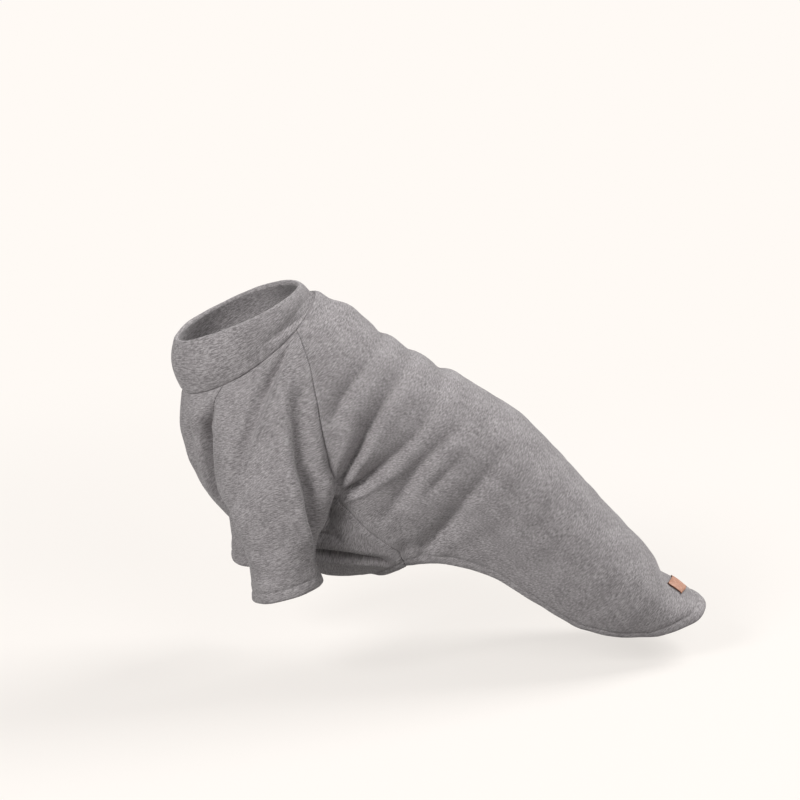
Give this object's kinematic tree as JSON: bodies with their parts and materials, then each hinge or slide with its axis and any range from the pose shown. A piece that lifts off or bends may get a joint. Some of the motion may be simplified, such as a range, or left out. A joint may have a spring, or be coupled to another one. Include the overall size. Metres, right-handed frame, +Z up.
{
  "type": "pet sweatshirt",
  "caption": "Small dog's raglan-sleeved sweatshirt in grey melange fleece, worn form and hollow, with a folded collar, turned hems, a rounded tail flap and a leather label.",
  "frame": {"origin": "the neck seam at the centre back, on the cloth's outer face, where the dog's withers carry the garment", "axes": "+X towards the tail, -X towards the head, +Z up, with the wearer's left side at -Y"},
  "size_m": [0.3843, 0.1516, 0.2573],
  "materials": {
    "fleece": "brushed grey melange sweatshirt knit, matt, with short darker and paler streaks along its courses",
    "leather": "bare tan-brown leather with darker cut edges, satin"
  },
  "bodies": {
    "root": {"collar": "fleece", "back_panel": "fleece", "chest_panel": "fleece", "sleeve_left": "fleece", "sleeve_right": "fleece", "label": "leather"}
  },
  "joints": []
}
